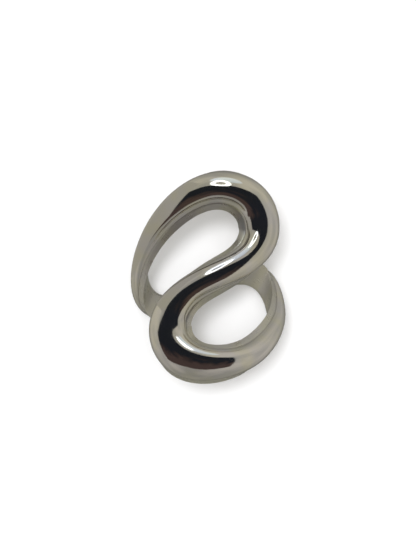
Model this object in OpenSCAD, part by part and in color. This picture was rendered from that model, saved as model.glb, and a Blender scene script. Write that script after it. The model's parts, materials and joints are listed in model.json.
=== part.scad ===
// Finger ring with an open S-shaped front.
// A hollow domed cover sits on a liner that lies against the finger; a solid shank closes the back.
// Millimetres. The origin is the centre of the finger hole, +Y runs along the finger
// and +Z points out of the S.

/* [Finger hole] */
// Inside diameter, 55 mm round the inside
bore_d = 17.5; // [17.3:0.1:17.7]

/* [Widths of the band] */
// Where the S crosses the middle of the front
waist_w = 5.2; // [5:0.1:5.4]
// At the outside of the two bends, the widest place
bend_w = 7.1; // [6.9:0.1:7.3]
// At the two ends of the S
lobe_w = 5.4; // [5.2:0.1:5.6]
// Where the band passes the sides of the finger
arm_w = 3.6; // [3.5:0.1:3.8]
// Behind the finger
shank_w = 3.3; // [3.2:0.1:3.5]

/* [Heights of the band above the finger] */
// At the bends
bend_h = 3.5; // [3.3:0.1:3.7]
// Where the S crosses the middle of the front
waist_h = 3; // [2.8:0.1:3.2]
// At the sides of the finger
arm_h = 2.1; // [2:0.1:2.2]
// Behind the finger
shank_h = 1.8; // [1.8:0.1:2]

/* [Walls and edges] */
// Thickness of the liner
liner_t = 0.75; // [0.7:0.05:0.85]
// Wall of the hollow cover
cover_t = 0.6; // [0.5:0.05:0.6]
// Sloping edge from the finger side in to the foot of the cover
bevel = 0.5; // [0.4:0.05:0.55]
// How much wider that edge gets on the inside of a bend
bevel_shift = 0.25; // [0.15:0.05:0.3]
// How far the crown leans to the inside of a bend, for each millimetre of height
crown_lean = 0.15; // [0.1:0.05:0.2]

/* [Joints] */
// Half the angle that the solid shank takes up behind the finger
shank_angle = 30; // [28:1:32]
// Thickness of the solder between the shank and each arm
solder_t = 0.15; // [0.1:0.05:0.2]
// Width of the solder seam inside the cover
seam_w = 0.3; // [0.2:0.05:0.35]

/* [Smoothness] */
// Cross-sections between two stations of the outline
steps = 6; // [5:1:7]
// Flats across the outside of the dome
dome_flats = 12; // [10:2:14]
// Flats across the inside of the dome
hollow_flats = 10; // [8:2:10]

/* [Hidden] */
bore_r = bore_d / 2;
// The outline is drawn flat and wrapped round a cylinder of this radius
wrap_r = bore_r + 2.15;
// The liner and shank are made this much too thick on the finger side, then bored out
spare = 0.6;
span = 60;

// Stations of the centreline: angle round the finger from the front, place along the finger,
// width, height, and which way the band bends (1 to the left, -1 to the right)
UPPER = [
    [0, 0, waist_w, waist_h, 0],
    [23, 2.8, 4.8, 3.1, 0.7],
    [36, 6.6, bend_w, bend_h, 1],
    [28, 10.5, 6.7, 3.4, 1],
    [3, 12.4, lobe_w, 3.2, 0.9]
];
LEFT_ARM = [
    [-26, 11.2, 5.3, 2.7, 0.6],
    [-62, 6.2, 4.7, 2.3, 0.3],
    [-93, 0.9, arm_w, arm_h, 0]
];
BACK = [
    [-113, -1.8, 3.9, 1.95, 0],
    [-147, -2.9, 3.8, 1.85, 0],
    [-180, 1.9, shank_w, shank_h, 0],
    [-210, 5.4, shank_w + 0.1, 1.85, 0],
    [-241, 4, 4, 1.95, 0]
];
RIGHT_ARM = [
    [-264, -0.6, arm_w - 0.4, arm_h, 0],
    [-302, -6.8, 4.4, 2.3, -0.3],
    [-328, -10.5, 4.4, 2.7, -0.6]
];
LAP = [-360, 0, 0, 0, 0];

// The lower half of the S is the upper half turned half a turn about Z
function turned(st) = [-st[0], -st[1], st[2], st[3], -st[4]] + LAP;
LOWER = [for (k = [len(UPPER) - 1:-1:1]) turned(UPPER[k])];
STATIONS = concat(UPPER, LEFT_ARM, BACK, RIGHT_ARM, LOWER);

// Closed cubic B-spline through the stations
function station(i) =
    let(n = len(STATIONS), lap = floor(i / n))
    STATIONS[i - lap * n] + lap * LAP;
function weights(t) =
    [pow(1 - t, 3), 3 * pow(t, 3) - 6 * t * t + 4, -3 * pow(t, 3) + 3 * t * t + 3 * t + 1, pow(t, 3)] / 6;
function band(s) =
    let(i = floor(s), w = weights(s - i))
    w[0] * station(i - 1) + w[1] * station(i) + w[2] * station(i + 1) + w[3] * station(i + 2);

// Cross-sections are [across, above the finger] points, listed anticlockwise
function top_half(c, inset) = c[2] / 2 - bevel - inset;
function dome(c, inset, flats) =
    let(half = top_half(c, inset), rise = c[3] - liner_t - inset)
    [for (k = [0:flats])
        let(p = 180 * k / flats)
        [half * cos(p) - c[4] * (bevel_shift - crown_lean * rise * sin(p)), liner_t + rise * sin(p)]];
function foot(c, across) = [across - c[4] * bevel_shift, liner_t];
function under(c, side) =
    let(top = foot(c, side * top_half(c, 0))[0], edge = side * c[2] / 2)
    [edge + (edge - top) * spare / liner_t, -spare];
function reversed(list) = [for (k = [len(list) - 1:-1:0]) list[k]];

function cover_section(c) = concat(dome(c, 0, dome_flats), reversed(dome(c, cover_t, hollow_flats)));
function liner_section(c) =
    let(out = top_half(c, 0), in = top_half(c, cover_t), seam = in - seam_w)
    concat([under(c, -1), under(c, 1)], [for (a = [out, in, seam, 0, -seam, -in, -out]) foot(c, a)]);
function solid_section(c) = concat([under(c, -1), under(c, 1)], dome(c, 0, dome_flats));
function seam_section(c, side) =
    let(in = top_half(c, cover_t), hollow = dome(c, cover_t, hollow_flats))
    side > 0
        ? [foot(c, in - seam_w), foot(c, in), hollow[1]]
        : [foot(c, -in), foot(c, seam_w - in), hollow[hollow_flats - 1]];

// Wraps one flat point round the finger
function wrapped(u, y, height) =
    let(angle = u / wrap_r * 180 / PI, r = bore_r + height)
    [r * sin(angle), y, r * cos(angle)];
// One cross-section, square to the centreline at s
function ring(s, section) =
    let(
        c = band(s),
        d = band(s + 0.05) - band(s - 0.05),
        run = [wrap_r * d[0] * PI / 180, d[1]],
        across = [-run[1], run[0]] / norm(run)
    )
    [for (p = section) wrapped(wrap_r * c[0] * PI / 180 + p[0] * across[0], c[1] + p[0] * across[1], p[1])];

// Skin over a list of rings; other_way picks the second diagonal of each quad, so that
// two sub-parts whose points run in opposite orders meet on the same triangles
module skin(rings, closed, other_way) {
    m = len(rings[0]);
    n = len(rings);
    last = closed ? n - 1 : n - 2;
    sides = [for (i = [0:last], j = [0:m - 1])
        let(
            a = i * m + j,
            b = i * m + (j + 1) % m,
            c = ((i + 1) % n) * m + (j + 1) % m,
            d = ((i + 1) % n) * m + j
        )
        each (other_way ? [[a, d, b], [b, d, c]] : [[a, c, b], [a, d, c]])];
    ends = closed ? [] : [[for (j = [0:m - 1]) j], [for (j = [m - 1:-1:0]) (n - 1) * m + j]];
    polyhedron([for (r = rings) each r], concat(sides, ends));
}

// Everything behind the finger within the given angles either side of straight back
module wedge(from, to) {
    rotate([90, 0, 0])
        linear_extrude(height = span, center = true)
            polygon([[0, 0], span * [-sin(from), -cos(from)], span * [-sin(to), -cos(to)]]);
}

module bore() {
    rotate([90, 0, 0]) cylinder(r = bore_r, h = span, center = true, $fn = 180);
}

// The places along the outline where each cross-section stands
FULL = [for (k = [0:len(STATIONS) * steps - 1]) k / steps];
REAR = [for (k = [0:5 * steps]) 7.5 + k / steps];
solder_angle = solder_t / (bore_r + 1) * 180 / PI;

module front_cover() {
    color("gainsboro")
        difference() {
            skin([for (s = FULL) ring(s, cover_section(band(s)))], true, true);
            wedge(-shank_angle, shank_angle);
        }
}

module finger_liner() {
    color("silver")
        difference() {
            skin([for (s = FULL) ring(s, liner_section(band(s)))], true, false);
            wedge(-shank_angle, shank_angle);
            bore();
        }
}

module cover_seam() {
    color("darkgray")
        for (side = [-1, 1])
            difference() {
                skin([for (s = FULL) ring(s, seam_section(band(s), side))], true, true);
                wedge(-shank_angle, shank_angle);
            }
}

// The solid band behind the finger, between two angles
module rear_band(from, to) {
    difference() {
        intersection() {
            skin([for (s = REAR) ring(s, solid_section(band(s)))], false, false);
            wedge(from, to);
        }
        bore();
    }
}

module rear_shank() {
    color("gainsboro") rear_band(solder_angle - shank_angle, shank_angle - solder_angle);
}

module left_shank_joint() {
    color("darkgray") rear_band(shank_angle - solder_angle, shank_angle);
}

module right_shank_joint() {
    color("darkgray") rear_band(-shank_angle, solder_angle - shank_angle);
}

front_cover();
finger_liner();
cover_seam();
rear_shank();
left_shank_joint();
right_shank_joint();
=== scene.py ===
import json
import math

import bmesh
import bpy
from mathutils import Matrix, Vector


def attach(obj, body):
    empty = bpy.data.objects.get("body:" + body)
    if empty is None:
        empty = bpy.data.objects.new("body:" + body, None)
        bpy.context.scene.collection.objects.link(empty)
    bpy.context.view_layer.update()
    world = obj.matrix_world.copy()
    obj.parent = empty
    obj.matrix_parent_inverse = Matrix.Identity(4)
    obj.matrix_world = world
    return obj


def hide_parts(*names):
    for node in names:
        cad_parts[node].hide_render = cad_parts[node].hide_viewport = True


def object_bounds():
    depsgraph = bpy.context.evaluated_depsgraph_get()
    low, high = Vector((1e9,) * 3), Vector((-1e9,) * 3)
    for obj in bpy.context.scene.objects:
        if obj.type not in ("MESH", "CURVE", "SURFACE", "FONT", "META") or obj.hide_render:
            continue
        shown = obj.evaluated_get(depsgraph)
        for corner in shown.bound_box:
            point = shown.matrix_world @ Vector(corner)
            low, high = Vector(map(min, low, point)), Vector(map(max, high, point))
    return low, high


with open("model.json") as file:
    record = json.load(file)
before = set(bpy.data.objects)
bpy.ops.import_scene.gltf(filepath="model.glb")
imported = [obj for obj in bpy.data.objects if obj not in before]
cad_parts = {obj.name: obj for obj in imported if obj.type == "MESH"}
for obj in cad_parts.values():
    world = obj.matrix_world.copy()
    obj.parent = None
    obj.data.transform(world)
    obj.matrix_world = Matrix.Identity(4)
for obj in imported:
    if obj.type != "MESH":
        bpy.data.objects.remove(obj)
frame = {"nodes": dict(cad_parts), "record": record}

cad_lo, cad_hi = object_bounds()

# ---------------------------------------------------------------- the ring's shape, as in part.scad
# millimetres and degrees here; meshes are written in metres

BORE_R = frame["record"]["mounts"][0]["dims"]["r_mm"]
WRAP_R = BORE_R + 2.15
LINER_T = 0.75
COVER_T = 0.6
BEVEL = 0.5
BEVEL_SHIFT = 0.25
CROWN_LEAN = 0.15
SHANK_ANGLE = 30.0
SOLDER_T = 0.15
SOLDER_ANGLE = math.degrees(SOLDER_T / (BORE_R + 1))

# finer than the CAD: flats across each section, and rings along each length
DOME_FLATS = 56
HOLLOW_FLATS = 20
BORE_FLATS = 10
BAND_RINGS = 620
SHANK_RINGS = 110
SOLDER_RINGS = 3
EDGE_R = 0.07  # rounding of the sharp edge against the finger
EDGE_CUT = EDGE_R * 0.29  # where that rounding is half way round
NIP = 0.05  # how far the foot of the dome turns in above the joint
FADE = 1.6  # over this much of s the sections turn gradually to meet a flat cut
CREASE = math.radians(28)  # edges that turn more than this are shaded crisp
MAP_STEP = 3.6  # the length in the map of one step of s, which is 5.8 mm of band on average

SLOPE_STEP = 0.02  # how far along s the centreline's direction is taken
CUT_STEP = 0.01  # the same for a line of the surface that is being cut

# the stations that the band follows smoothly, passing near them and not through them: angle round the
# finger from the front, place along the finger, width, height, and which way the band bends
# (1 to the left, -1 to the right)
UPPER = [
    (0, 0, 5.2, 3, 0),
    (23, 2.8, 4.8, 3.1, 0.7),
    (36, 6.6, 7.1, 3.5, 1),
    (28, 10.5, 6.7, 3.4, 1),
    (3, 12.4, 5.4, 3.2, 0.9),
]
LEFT_ARM = [(-26, 11.2, 5.3, 2.7, 0.6), (-62, 6.2, 4.7, 2.3, 0.3), (-93, 0.9, 3.6, 2.1, 0)]
BACK = [
    (-113, -1.8, 3.9, 1.95, 0),
    (-147, -2.9, 3.8, 1.85, 0),
    (-180, 1.9, 3.3, 1.8, 0),
    (-210, 5.4, 3.4, 1.85, 0),
    (-241, 4, 4, 1.95, 0),
]
RIGHT_ARM = [(-264, -0.6, 3.2, 2.1, 0), (-302, -6.8, 4.4, 2.3, -0.3), (-328, -10.5, 4.4, 2.7, -0.6)]
# the lower half of the S is the upper half turned half a turn
LOWER = [(-a - 360, -y, w, h, -b) for a, y, w, h, b in UPPER[:0:-1]]
STATIONS = UPPER + LEFT_ARM + BACK + RIGHT_ARM + LOWER
N = len(STATIONS)


def band(s):
    """Angle, place, width, height and bend at s, on the closed cubic B-spline of the stations."""
    i = math.floor(s)
    t = s - i
    w = (
        (1 - t) ** 3 / 6,
        (3 * t**3 - 6 * t * t + 4) / 6,
        (-3 * t**3 + 3 * t * t + 3 * t + 1) / 6,
        t**3 / 6,
    )
    out = [0.0] * 5
    for k in range(4):
        lap, j = divmod(i - 1 + k, N)
        row = STATIONS[j]
        for q in range(5):
            out[q] += w[k] * (row[q] - (360 * lap if q == 0 else 0))
    return out


def wrapped(s, across, height):
    """The point across mm to the side of the centreline at s and height above the finger, with its angle."""
    c = band(s)
    p, q = band(s + SLOPE_STEP), band(s - SLOPE_STEP)
    du = WRAP_R * math.radians(p[0] - q[0])
    dy = p[1] - q[1]
    n = math.hypot(du, dy)
    u = WRAP_R * math.radians(c[0]) - across * dy / n
    y = c[1] + across * du / n
    a = u / WRAP_R
    r = BORE_R + height
    return Vector((r * math.sin(a), y, r * math.cos(a))), math.degrees(a)


# ---------------------------------------------------------------- cross-sections
# each takes the band's values at s and gives [(across, height)], anticlockwise


def dome(c, inset, flats):
    half = c[2] / 2 - BEVEL - inset
    rise = c[3] - LINER_T - inset
    pts = []
    for k in range(flats + 1):
        p = math.pi * k / flats
        pts.append(
            (
                half * math.cos(p) - c[4] * (BEVEL_SHIFT - CROWN_LEAN * rise * math.sin(p)),
                LINER_T + rise * math.sin(p),
            )
        )
    return pts


def cover_section(c):
    outer = dome(c, 0.0, DOME_FLATS)
    # the foot of the dome turns in a little before it meets the liner, so that the joint reads as a line
    first, last = outer[0], outer[-1]
    outer[0] = (first[0] - NIP, first[1] + 0.01)
    outer[-1] = (last[0] + NIP, last[1] + 0.01)
    outer.insert(1, (first[0] - NIP * 0.25, first[1] + 0.045))
    outer.insert(-1, (last[0] + NIP * 0.25, last[1] + 0.045))
    inner = dome(c, COVER_T, HOLLOW_FLATS)
    return outer + inner[::-1]


def bore_side(left, right):
    """The points that lie against the finger, up to where each edge starts to round."""
    inside = [(left + (right - left) * k / BORE_FLATS, 0.0) for k in range(1, BORE_FLATS)]
    return [(left + EDGE_R, 0.0), *inside, (right - EDGE_R, 0.0)]


def edges(left, right, top_l, top_r):
    """The rounded edge against the finger and the slope above it, for each side."""
    r = EDGE_R
    side_r = [(right - EDGE_CUT, EDGE_CUT), (right, r)]
    side_l = [(left, r), (left + EDGE_CUT, EDGE_CUT)]
    slope_r = [(right + (top_r - right) * t, r + (LINER_T - r) * t) for t in (0.25, 0.5, 0.75, 0.94)]
    slope_l = [(top_l + (left - top_l) * t, LINER_T + (r - LINER_T) * t) for t in (0.06, 0.25, 0.5, 0.75)]
    return side_r + slope_r, slope_l + side_l


def liner_section(c):
    half = c[2] / 2 - BEVEL
    shift = c[4] * BEVEL_SHIFT
    left, right = -c[2] / 2, c[2] / 2
    top_r, top_l = half - shift, -half - shift
    rise, fall = edges(left, right, top_l, top_r)
    top = [(top_r - 0.04, LINER_T)]
    top += [(top_r + (top_l - top_r) * t, LINER_T) for t in (0.15, 0.4, 0.6, 0.85)]
    top += [(top_l + 0.04, LINER_T)]
    return bore_side(left, right) + rise + top + fall


def solid_section(c):
    """The shank: dome above, bevels, and the finger side, as one piece."""
    left, right = -c[2] / 2, c[2] / 2
    crown = dome(c, 0.0, DOME_FLATS)
    rise, fall = edges(left, right, crown[-1][0], crown[0][0])
    return bore_side(left, right) + rise + crown + fall


# ---------------------------------------------------------------- lofting


def cut_place(s_near, across, height, angle):
    """The s near s_near where this long line of the surface reaches the given angle round the finger."""
    s = s_near
    for _ in range(12):
        a = wrapped(s, across, height)[1]
        b = wrapped(s + CUT_STEP, across, height)[1]
        s += max(-0.4, min(0.4, (angle - a) / ((b - a) / CUT_STEP)))
    return s


def loft(name, section, from_angle, to_angle, count):
    """A closed solid along the band between two flat cuts, in the direction in which the angle falls."""

    def nearest(angle):
        best = min((abs(band(k / 20)[0] - angle), k / 20) for k in range(-20 * N, 20 * N + 1))
        return cut_place(best[1], 0.0, 0.0, angle)

    s0, s1 = nearest(from_angle), nearest(to_angle)
    m = len(section(band(s0)))
    starts, ends = [s0] * m, [s1] * m
    # three passes, because a section's own size changes a little along the band
    for _ in range(3):
        for j in range(m):
            starts[j] = cut_place(starts[j], *section(band(starts[j]))[j], from_angle)
            ends[j] = cut_place(ends[j], *section(band(ends[j]))[j], to_angle)
    verts, uvs = [], []
    length = s1 - s0
    for i in range(count + 1):
        s = s0 + length * i / count
        near = max(0.0, 1 - (s - s0) / FADE)
        far = max(0.0, 1 - (s1 - s) / FADE)
        near, far = near * near * (3 - 2 * near), far * far * (3 - 2 * far)
        for j in range(m):
            if length < 2 * FADE:
                sj = starts[j] + (ends[j] - starts[j]) * i / count
            else:
                sj = s + near * (starts[j] - s0) + far * (ends[j] - s1)
            a, h = section(band(sj))[j]
            verts.append(wrapped(sj, a, h)[0] / 1000)
            uvs.append((sj, a))
    faces = []
    for i in range(count):
        for j in range(m):
            k = (j + 1) % m
            faces.append((i * m + j, i * m + k, (i + 1) * m + k, (i + 1) * m + j))
    mesh = bpy.data.meshes.new(name)
    mesh.from_pydata([tuple(v) for v in verts], [], faces)
    # the two flat ends, filled as polygons
    bm = bmesh.new()
    bm.from_mesh(mesh)
    bm.verts.ensure_lookup_table()
    for start in (0, count * m):
        loop = [bm.verts[start + j] for j in range(m)]
        f = bm.faces.new(loop)
        bmesh.ops.triangulate(bm, faces=[f], ngon_method="BEAUTY")
    bmesh.ops.recalc_face_normals(bm, faces=bm.faces)
    for f in bm.faces:
        f.smooth = True
    # crisp where the surface turns sharply
    for e in bm.edges:
        if len(e.link_faces) == 2 and e.calc_face_angle(0) > CREASE:
            e.smooth = False
    bm.to_mesh(mesh)
    bm.free()
    ob = bpy.data.objects.new(name, mesh)
    bpy.context.collection.objects.link(ob)
    # the map for the brushing and the scratches: along the band, and across it in millimetres
    layer = mesh.uv_layers.new(name="band")
    for loop in mesh.loops:
        u, v = uvs[loop.vertex_index]
        layer.data[loop.index].uv = (u * MAP_STEP, v)
    return ob


# ---------------------------------------------------------------- materials


def principled(name):
    mat = bpy.data.materials.new(name)
    mat.use_nodes = True
    nt = mat.node_tree
    return mat, nt, nt.nodes["Principled BSDF"]


def add(nt, kind, **values):
    node = nt.nodes.new(kind)
    for key, value in values.items():
        setattr(node, key, value)
    return node


def noise(nt, vector, scale, detail=2.0, rough=0.5):
    n = add(nt, "ShaderNodeTexNoise")
    n.inputs["Scale"].default_value = scale
    n.inputs["Detail"].default_value = detail
    n.inputs["Roughness"].default_value = rough
    nt.links.new(vector, n.inputs["Vector"])
    return n.outputs["Fac"]


def spread(nt, fac, lo, hi, a=0.0, b=1.0):
    n = add(nt, "ShaderNodeMapRange")
    n.inputs["From Min"].default_value = a
    n.inputs["From Max"].default_value = b
    n.inputs["To Min"].default_value = lo
    n.inputs["To Max"].default_value = hi
    nt.links.new(fac, n.inputs["Value"])
    return n.outputs["Result"]


def tint(nt, fac, dark, light, a=0.3, b=0.7):
    n = add(nt, "ShaderNodeValToRGB")
    n.color_ramp.elements[0].position = a
    n.color_ramp.elements[1].position = b
    n.color_ramp.elements[0].color = (*dark, 1)
    n.color_ramp.elements[1].color = (*light, 1)
    nt.links.new(fac, n.inputs["Fac"])
    return n.outputs["Color"]


def scaled(nt, vector, scale):
    n = add(nt, "ShaderNodeMapping")
    n.inputs["Scale"].default_value = scale
    nt.links.new(vector, n.inputs["Vector"])
    return n.outputs["Vector"]


def times_plus(nt, value, factor, more=None):
    n = add(nt, "ShaderNodeMath", operation="MULTIPLY_ADD")
    nt.links.new(value, n.inputs[0])
    n.inputs[1].default_value = factor
    n.inputs[2].default_value = 0.0
    if more is not None:
        nt.links.new(more, n.inputs[2])
    return n.outputs[0]


def bump(nt, height, strength, distance, under=None):
    n = add(nt, "ShaderNodeBump")
    n.inputs["Strength"].default_value = strength
    n.inputs["Distance"].default_value = distance
    nt.links.new(height, n.inputs["Height"])
    if under is not None:
        nt.links.new(under, n.inputs["Normal"])
    return n.outputs["Normal"]


HAIR_DEPTH = 0.00001
STRAW, VIOLET = (1.0, 0.992, 0.91), (0.965, 0.96, 1.0)


def metal(name, dark, light, rough, wobble, streak, streak_scale, along=True, bare=1.0):
    """A bright metal with slow colour change, smears in its gloss, polishing waves and hair scratches.

    The scratches run along the band where the piece has the band's own map, otherwise along the finger.
    bare below 1 leaves a little dull residue on the surface.
    """
    mat, nt, bsdf = principled(name)
    place = add(nt, "ShaderNodeTexCoord").outputs["Object"]
    mm = scaled(nt, place, (1000, 1000, 1000))
    uv = add(nt, "ShaderNodeUVMap", uv_map="band").outputs["UV"] if along else mm
    hair = noise(nt, scaled(nt, uv, streak_scale), 1.0, 3.0, 0.6)
    smear = noise(nt, mm, 0.35, 4.0, 0.6)
    patch = noise(nt, mm, 0.12, 2.0)
    # a faint oxide tinge, straw to violet, over the metal's own slow change
    tinge = add(nt, "ShaderNodeMix", data_type="RGBA", blend_type="MULTIPLY")
    tinge.inputs["Factor"].default_value = 1.0
    nt.links.new(tint(nt, patch, dark, light), tinge.inputs["A"])
    oxide = tint(nt, noise(nt, mm, 0.3, 2.0), STRAW, VIOLET, 0.38, 0.62)
    nt.links.new(oxide, tinge.inputs["B"])
    nt.links.new(tinge.outputs["Result"], bsdf.inputs["Base Color"])
    # the gloss is six parts smear and four parts scratches
    mixed = times_plus(nt, smear, 0.6)
    both = times_plus(nt, hair, 0.4, mixed)
    low, high = rough
    nt.links.new(spread(nt, both, low, high, 0.3, 0.7), bsdf.inputs["Roughness"])
    waves = bump(nt, noise(nt, mm, 0.22, 1.0), 1.0, wobble)
    nt.links.new(bump(nt, hair, streak, HAIR_DEPTH, waves), bsdf.inputs["Normal"])
    bsdf.inputs["Metallic"].default_value = bare
    return mat


# dark and light tone, lowest and highest roughness, wave depth, scratch strength, scratch scale by axis
polish = metal("ring_polish", (0.70, 0.68, 0.635), (0.79, 0.77, 0.725), (0.05, 0.13), 0.00003, 0.2, (0.35, 14, 1))
satin = metal(
    "ring_satin", (0.50, 0.488, 0.44), (0.60, 0.588, 0.535), (0.22, 0.38), 0.00003, 0.4, (0.5, 22, 1), bare=0.88
)
joint = metal("ring_solder", (0.50, 0.48, 0.44), (0.58, 0.56, 0.52), (0.12, 0.24), 0.00002, 0.2, (0.5, 14, 1))


def finish_piece(ob, mat, node, under=None):
    """under is the finish below the foot of the dome, on the bevels and against the finger."""
    ob.data.materials.append(mat)
    if under is not None:
        ob.data.materials.append(under)
        for face in ob.data.polygons:
            x, y, z = face.center
            face.material_index = int(math.hypot(x, z) * 1000 < BORE_R + LINER_T)
    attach(ob, "root")
    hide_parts(node)


# the angles of the two cuts between the hollow S and the shank
left_cut, right_cut = -180 + SHANK_ANGLE, -180 - SHANK_ANGLE
cover = loft("cover_dome", cover_section, right_cut + 360, left_cut, BAND_RINGS)
finish_piece(cover, polish, "front_cover")
liner = loft("liner_plate", liner_section, right_cut + 360, left_cut, BAND_RINGS)
finish_piece(liner, satin, "finger_liner")
shank = loft("shank_band", solid_section, left_cut - SOLDER_ANGLE, right_cut + SOLDER_ANGLE, SHANK_RINGS)
finish_piece(shank, polish, "rear_shank", satin)
left_joint = loft("solder_left", solid_section, left_cut, left_cut - SOLDER_ANGLE, SOLDER_RINGS)
finish_piece(left_joint, joint, "left_shank_joint", satin)
right_joint = loft("solder_right", solid_section, right_cut + SOLDER_ANGLE, right_cut, SOLDER_RINGS)
finish_piece(right_joint, joint, "right_shank_joint", satin)

# the solder inside the cover stays as the CAD has it
seam = frame["nodes"]["cover_seam"]
seam.data.materials.clear()
seam.data.materials.append(
    metal("seam_solder", (0.42, 0.40, 0.36), (0.55, 0.53, 0.49), (0.30, 0.50), 0.00004, 0.3, (3, 0.5, 3), along=False)
)

# ---------------------------------------------------------------- stage, light, camera

FLOOR_HALF = 1.2
FLOOR_GAP = 0.00002  # the floor lies this far below the ring, so that the two don't touch
PAPER = (0.90, 0.905, 0.93)


def plain(name, colour, rough):
    mat, nt, bsdf = principled(name)
    bsdf.inputs["Base Color"].default_value = (*colour, 1)
    bsdf.inputs["Roughness"].default_value = rough
    bsdf.inputs["Specular IOR Level"].default_value = 0.1
    return mat


floor_mesh = bpy.data.meshes.new("floor")
corners = [(x * FLOOR_HALF, y * FLOOR_HALF, 0) for x, y in ((-1, -1), (1, -1), (1, 1), (-1, 1))]
floor_mesh.from_pydata(corners, [], [(0, 1, 2, 3)])
floor = bpy.data.objects.new("floor", floor_mesh)
floor.location = (0, 0, cad_lo.z - FLOOR_GAP)
floor_mesh.materials.append(plain("floor_paper", PAPER, 0.9))
bpy.context.collection.objects.link(floor)
# the white sheet isn't seen in the metal, which shows the ring itself, the tent and the cards below
floor.visible_glossy = False

# the camera: where it stands round the ring, how it is turned, and how far it is aimed off the centre
AZ, EL, ROLL = math.radians(-20.9), math.radians(77.26), math.radians(28.64)
DISTANCE = 0.2518
LENS = 118.96
AIM_UP, AIM_LEFT = math.radians(0.378), math.radians(0.015)

# back points from the ring to the camera; right and up are the picture's own directions
back = Vector((math.sin(AZ) * math.cos(EL), -math.cos(AZ) * math.cos(EL), math.sin(EL)))
up0 = Vector((-math.sin(AZ) * math.sin(EL), math.cos(AZ) * math.sin(EL), math.cos(EL)))
right0 = up0.cross(back)
right = math.cos(ROLL) * right0 + math.sin(ROLL) * up0
up = -math.sin(ROLL) * right0 + math.cos(ROLL) * up0
cam_data = bpy.data.cameras.new("camera")
cam_data.sensor_width = 36.0
cam_data.lens = LENS
cam_data.clip_start, cam_data.clip_end = 0.01, 10
cam = bpy.data.objects.new("camera", cam_data)
turn = Matrix((right, up, back)).transposed()
tilt = Matrix.Rotation(AIM_UP, 3, "X") @ Matrix.Rotation(AIM_LEFT, 3, "Y")
cam.rotation_mode = "QUATERNION"
cam.rotation_quaternion = (turn @ tilt).to_quaternion()
cam.location = back * DISTANCE
bpy.context.collection.objects.link(cam)
bpy.context.scene.camera = cam

bpy.context.scene.view_settings.view_transform = "Standard"
bpy.context.scene.view_settings.look = "None"

LIGHT_DISTANCE = 1.4
LEAN = math.radians(6)  # how far the key light stands off the view, to the upper left


def soft_light(name, direction, size, power):
    """A round white lamp facing the ring, for the floor and its shadow; the metal doesn't show it."""
    data = bpy.data.lights.new(name, "AREA")
    data.energy = power
    data.shape = "DISK"
    data.size = size
    ob = bpy.data.objects.new(name, data)
    ob.location = direction * LIGHT_DISTANCE
    ob.rotation_mode = "QUATERNION"
    ob.rotation_quaternion = (-(direction * LIGHT_DISTANCE)).to_track_quat("-Z", "Y")
    ob.visible_glossy = False
    bpy.context.collection.objects.link(ob)


lean = (back * math.cos(LEAN) + (0.7 * up - 0.7 * right) * math.sin(LEAN)).normalized()
soft_light("soft_key", lean, 0.2, 7.3)
soft_light("soft_sky", (back + 0.5 * lean).normalized(), 0.7, 11.2)


def glow(name, rows, scale=0.0, shake=0.05):
    """Stage material that shines with one colour, or fades through several up the card, blotchily.

    rows are (height on the card in metres, colour), lowest first.
    """
    mat = bpy.data.materials.new(name)
    mat.use_nodes = True
    nt = mat.node_tree
    nt.nodes.clear()
    out = nt.nodes.new("ShaderNodeOutputMaterial")
    shine = nt.nodes.new("ShaderNodeEmission")
    nt.links.new(shine.outputs[0], out.inputs["Surface"])
    if len(rows) == 1:
        shine.inputs["Color"].default_value = (*rows[0][1], 1)
        return mat
    place = add(nt, "ShaderNodeTexCoord").outputs["Object"]
    xyz = add(nt, "ShaderNodeSeparateXYZ")
    nt.links.new(place, xyz.inputs[0])
    shaky = times_plus(nt, noise(nt, place, scale, 3.0), shake, xyz.outputs["Y"])
    ramp = add(nt, "ShaderNodeValToRGB")
    first, last = rows[0][0], rows[-1][0]
    while len(ramp.color_ramp.elements) < len(rows):
        ramp.color_ramp.elements.new(0.5)
    for e, (y, c) in zip(ramp.color_ramp.elements, rows):
        e.position = (y - first) / (last - first)
        e.color = (*c, 1)
    nt.links.new(spread(nt, shaky, 0, 1, first, last), ramp.inputs["Fac"])
    nt.links.new(ramp.outputs["Color"], shine.inputs["Color"])
    return mat


def card(name, where, x_axis, y_axis, points, mat, hole=None):
    """A flat stage card seen only in the metal. points are x, y on the card, in metres.

    hole is the size of the hole in its middle, as a share of the card.
    """
    n = len(points)
    verts = [(x, y, 0) for x, y in points]
    faces = [tuple(range(n))]
    if hole is not None:
        verts += [(x * hole, y * hole, 0) for x, y in points]
        faces = [(k, (k + 1) % n, n + (k + 1) % n, n + k) for k in range(n)]
    mesh = bpy.data.meshes.new(name)
    mesh.from_pydata(verts, [], faces)
    mesh.materials.append(mat)
    ob = bpy.data.objects.new(name, mesh)
    ob.rotation_mode = "QUATERNION"
    ob.rotation_quaternion = Matrix((x_axis, y_axis, x_axis.cross(y_axis))).transposed().to_quaternion()
    ob.location = where
    ob.visible_camera = ob.visible_diffuse = ob.visible_shadow = False
    ob.visible_transmission = ob.visible_volume_scatter = False
    bpy.context.collection.objects.link(ob)


def facing(degrees_right, degrees_up, distance):
    """A place round the open front, with the two directions of a card there that faces the ring."""
    t = math.radians(math.hypot(degrees_right, degrees_up))
    flat = (right * degrees_right + up * degrees_up).normalized()
    z = (back * math.cos(t) + flat * math.sin(t)).normalized()
    x = up.cross(z).normalized()
    return z * distance, x, z.cross(x)


def oval(rx, ry, n=64):
    return [(rx * math.cos(2 * math.pi * k / n), ry * math.sin(2 * math.pi * k / n)) for k in range(n)]


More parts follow.
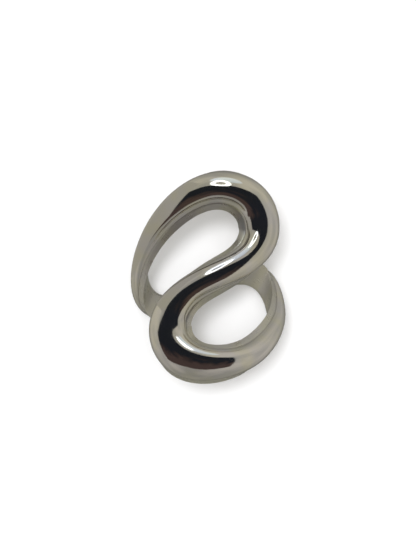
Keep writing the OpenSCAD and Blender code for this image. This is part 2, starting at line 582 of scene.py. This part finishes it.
# a dark card across the view, brown at its foot: the dark shape in the dome
DARK = (0.013, 0.015, 0.020)
BROWN = (0.067, 0.046, 0.041)
DIM_BROWN = (0.034, 0.026, 0.026)
OPENING_DISTANCE = 0.07
OPENING = [
    (-0.30, -0.18), (-0.043, -0.075), (0.10, -0.080), (0.10, 0.066), (0.006, 0.044), (-0.146, 0.056), (-0.30, 0.060)
]
fade_up = [(-0.08, BROWN), (0.030, BROWN), (0.050, DIM_BROWN), (0.066, DARK), (0.12, DARK)]
card("stage_opening", back * OPENING_DISTANCE, right, up, OPENING, glow("stage_dark_room", fade_up, 38.0, 0.13))

# a pale upright card close to the left arm keeps the dark opening out of it
SIDE_DISTANCE = 0.0125
SIDE = [(0.001, -0.010), (0.030, -0.010), (0.030, 0.017), (0.001, 0.017)]
side_cloth = glow("stage_side_cloth", [(-0.02, (0.43, 0.415, 0.365)), (0.02, (0.385, 0.373, 0.335))], 60.0)
card("stage_side", right * -SIDE_DISTANCE, up, back, SIDE, side_cloth)

# a small bright ring of light above, and a bluish haze higher up
lamp_glow = glow("stage_lamp_glow", [(0, (2.3, 2.45, 2.6))])
card("stage_lamp", *facing(-1.2, 46, 0.043), oval(0.0082, 0.0105), lamp_glow, hole=0.55)
haze_glow = glow("stage_haze_glow", [(-0.05, (0.50, 0.58, 0.68)), (0.05, (0.80, 0.86, 0.92))], 45.0)
card("stage_haze", *facing(6, 66, 0.15), oval(0.060, 0.040), haze_glow)

# the tent all round, as the world's light: warm grey cloth, darker low down behind and under the ring
CLOTH_DARK, CLOTH_LIGHT = (0.33, 0.325, 0.30), (0.47, 0.45, 0.405)
CLOTH_LOW = (0.20, 0.197, 0.175)
SIDES_BRIGHTER = 0.27
FOOT_STRENGTH, TOP_STRENGTH = 0.79, 1.03


def dot(nt, vector, direction):
    n = add(nt, "ShaderNodeVectorMath", operation="DOT_PRODUCT")
    n.inputs[1].default_value = direction
    nt.links.new(vector, n.inputs[0])
    return n.outputs["Value"]


world = bpy.data.worlds.new("tent")
bpy.context.scene.world = world
world.use_nodes = True
wt = world.node_tree
bg = wt.nodes["Background"]
coord = add(wt, "ShaderNodeTexCoord").outputs["Generated"]
cloth = tint(wt, noise(wt, coord, 1.1, 2.0), CLOTH_DARK, CLOTH_LIGHT, 0.38, 0.62)
low = spread(wt, dot(wt, coord, back), 0.0, 1.0, -0.95, -0.62)
mix = add(wt, "ShaderNodeMix", data_type="RGBA")
wt.links.new(low, mix.inputs["Factor"])
mix.inputs["A"].default_value = (*CLOTH_LOW, 1)
wt.links.new(cloth, mix.inputs["B"])
wt.links.new(mix.outputs["Result"], bg.inputs["Color"])
# a little brighter at both sides, and towards the top
either = add(wt, "ShaderNodeMath", operation="ABSOLUTE")
wt.links.new(dot(wt, coord, right), either.inputs[0])
above = spread(wt, dot(wt, coord, up), FOOT_STRENGTH, TOP_STRENGTH, -1, 1)
wt.links.new(times_plus(wt, either.outputs[0], SIDES_BRIGHTER, above), bg.inputs["Strength"])
